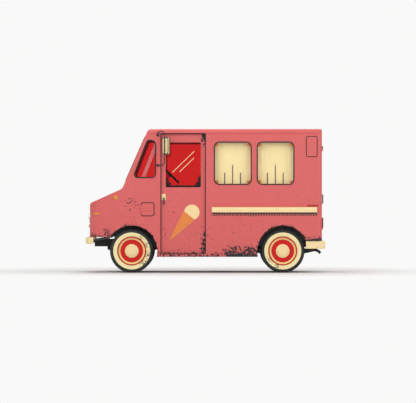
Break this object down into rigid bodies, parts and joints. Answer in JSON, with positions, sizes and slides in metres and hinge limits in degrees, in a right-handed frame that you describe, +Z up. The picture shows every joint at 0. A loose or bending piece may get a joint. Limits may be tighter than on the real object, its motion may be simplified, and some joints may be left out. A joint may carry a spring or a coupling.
{
  "type": "ice cream truck",
  "caption": "Compact walk-in ice cream truck with a short sloping nose, sliding cab doors, twin rear doors, curtained side windows and whitewall tyres.",
  "frame": {"origin": "on the ground, midway between the bumpers' ends and on the truck's centre plane", "axes": "+X forward, +Y to the driver's left, +Z up"},
  "size_m": [4.324, 2.2718, 2.592],
  "materials": {
    "body_paint": "chipped gloss",
    "cream_paint": "gloss",
    "wheel_paint": "gloss",
    "tyre": "whitewall rubber",
    "glass": "tinted",
    "black_metal": "satin",
    "steel": "dull",
    "chrome": "polished",
    "amber_lens": "clear",
    "red_lens": "clear",
    "clear_lens": "clear",
    "curtain": "woven",
    "seat": "vinyl",
    "freezer": "gloss",
    "handwheel": "gloss"
  },
  "bodies": {
    "root": {"roof_panel": "body_paint", "windscreen_frame": "body_paint", "body_side_left": "body_paint", "body_side_right": "body_paint", "cab_side_left": "body_paint", "cab_side_right": "body_paint", "nose_panel": "body_paint", "rear_frame": "body_paint", "vent_hatches": "body_paint", "firewall": "body_paint", "rub_rails": "cream_paint", "front_bumper": "cream_paint", "rear_bumper": "cream_paint", "mirror_heads": "cream_paint", "side_window_glass": "glass", "cab_glass": "glass", "chassis": "black_metal", "front_axle": "black_metal", "rear_axle": "black_metal", "floor_pan": "black_metal", "wheelhouses": "black_metal", "door_tracks": "black_metal", "seat_base": "black_metal", "mirror_arms": "black_metal", "fuel_tank": "black_metal", "curtain_rails": "black_metal", "engine": "steel", "exhaust": "steel", "grille": "chrome", "head_lamp_bezels": "chrome", "amber_lamps": "amber_lens", "red_lamps": "red_lens", "head_lamp_lenses": "clear_lens", "curtains": "curtain", "seat_pads": "seat", "freezer": "freezer"},
    "cab_door_left": {"cab_door_left": "body_paint", "cab_door_glass_left": "glass"},
    "cab_door_right": {"cab_door_right": "body_paint", "cab_door_glass_right": "glass"},
    "rear_door_left": {"rear_door_left": "body_paint", "rear_glass_left": "glass"},
    "rear_door_right": {"rear_door_right": "body_paint", "rear_glass_right": "glass"},
    "hood": {"hood": "body_paint"},
    "fuel_flap": {"fuel_flap": "body_paint"},
    "knuckle_left": {"knuckle_left": "black_metal"},
    "knuckle_right": {"knuckle_right": "black_metal"},
    "tie_rod": {"tie_rod": "black_metal"},
    "steering_wheel": {"steering_wheel": "handwheel"},
    "wheel_front_left": {"rim_front_left": "wheel_paint", "tyre_front_left": "tyre"},
    "wheel_front_right": {"rim_front_right": "wheel_paint", "tyre_front_right": "tyre"},
    "wheel_rear_left": {"rim_rear_left": "wheel_paint", "tyre_rear_left": "tyre"},
    "wheel_rear_right": {"rim_rear_right": "wheel_paint", "tyre_rear_right": "tyre"}
  },
  "joints": [
    {"name": "cab_door_left_slide", "type": "slide", "parent": "root", "child": "cab_door_left", "axis": [-1, 0, 0], "range_m": [0, 0.7]},
    {"name": "cab_door_right_slide", "type": "slide", "parent": "root", "child": "cab_door_right", "axis": [-1, 0, 0], "range_m": [0, 0.7]},
    {"name": "rear_door_left_hinge", "type": "hinge", "parent": "root", "child": "rear_door_left", "pos_m": [-2.114, 0.7, 1.5], "axis": [0, 0, -1], "range_deg": [0, 120]},
    {"name": "rear_door_right_hinge", "type": "hinge", "parent": "root", "child": "rear_door_right", "pos_m": [-2.114, -0.7, 1.5], "axis": [0, 0, 1], "range_deg": [0, 120]},
    {"name": "hood_hinge", "type": "hinge", "parent": "root", "child": "hood", "pos_m": [1.512, 0, 1.519], "axis": [0, -1, 0], "range_deg": [0, 55]},
    {"name": "fuel_flap_hinge", "type": "hinge", "parent": "root", "child": "fuel_flap", "pos_m": [1.157, 0.957, 1.145], "axis": [0, 0, -1], "range_deg": [0, 100]},
    {"name": "steer_left", "type": "hinge", "parent": "root", "child": "knuckle_left", "pos_m": [1.328, 0.64, 0.393], "axis": [0, 0, 1], "range_deg": [-30, 30]},
    {"name": "steer_right", "type": "hinge", "parent": "root", "child": "knuckle_right", "pos_m": [1.328, -0.64, 0.393], "axis": [0, 0, 1], "range_deg": [-30, 30]},
    {"name": "tie_rod_pivot", "type": "hinge", "parent": "knuckle_left", "child": "tie_rod", "pos_m": [1.198, 0.64, 0.3], "axis": [0, 0, 1], "range_deg": [-30, 30]},
    {"name": "steering_wheel_turn", "type": "hinge", "parent": "root", "child": "steering_wheel", "pos_m": [0.64, 0.42, 1.78], "axis": [-0.7071, 0, 0.7071], "range_deg": [-540, 540]},
    {"name": "wheel_front_left_spin", "type": "hinge", "parent": "knuckle_left", "child": "wheel_front_left", "pos_m": [1.328, 0.78, 0.393], "axis": [0, 1, 0], "continuous": true},
    {"name": "wheel_front_right_spin", "type": "hinge", "parent": "knuckle_right", "child": "wheel_front_right", "pos_m": [1.328, -0.78, 0.393], "axis": [0, 1, 0], "continuous": true},
    {"name": "wheel_rear_left_spin", "type": "hinge", "parent": "root", "child": "wheel_rear_left", "pos_m": [-1.395, 0.78, 0.393], "axis": [0, 1, 0], "continuous": true},
    {"name": "wheel_rear_right_spin", "type": "hinge", "parent": "root", "child": "wheel_rear_right", "pos_m": [-1.395, -0.78, 0.393], "axis": [0, 1, 0], "continuous": true}
  ],
  "couplings": [
    {"joint": "steer_right", "follows": "steer_left", "ratio": 1},
    {"joint": "tie_rod_pivot", "follows": "steer_left", "ratio": -1},
    {"joint": "steering_wheel_turn", "follows": "steer_left", "ratio": 18}
  ]
}
